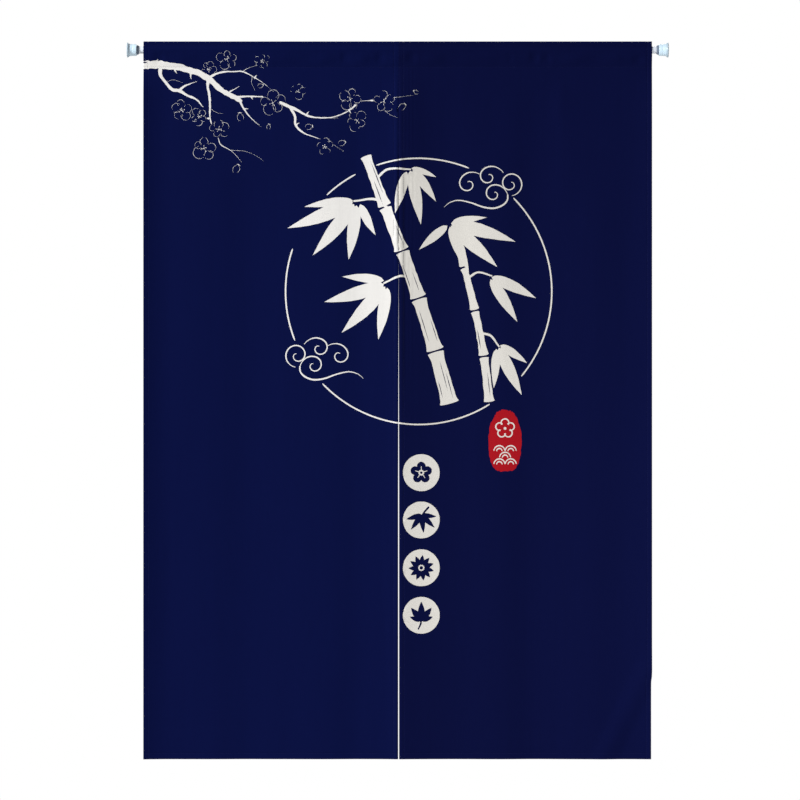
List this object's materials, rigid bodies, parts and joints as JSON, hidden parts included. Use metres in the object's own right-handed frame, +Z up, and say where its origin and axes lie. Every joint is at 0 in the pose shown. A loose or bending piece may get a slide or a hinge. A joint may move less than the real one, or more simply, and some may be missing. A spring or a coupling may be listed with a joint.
{
  "type": "door curtain on a tension rod",
  "caption": "Flat door curtain whose sewn centre seam opens into a slit, hung by its rod pocket from a round tension rod with flared feet.",
  "frame": {"origin": "centre of the left foot's flat outer face, on the rod's axis, where the door frame holds the part", "axes": "+X along the rod to the right foot, -Y towards the viewer of the printed front, +Z up"},
  "size_m": [0.905, 0.0246, 1.1999],
  "materials": {
    "woven_cloth": "matte linen-look weave, navy with a cream and red print",
    "rod_enamel": "smooth white enamel",
    "foot_plastic": "pale ice-blue moulded plastic",
    "collar_rubber": "dark slate rubber"
  },
  "bodies": {
    "root": {"panel_left": "woven_cloth", "panel_right": "woven_cloth", "rod": "rod_enamel", "foot_left": "foot_plastic", "foot_right": "foot_plastic", "collar_left": "collar_rubber", "collar_right": "collar_rubber"}
  },
  "joints": []
}
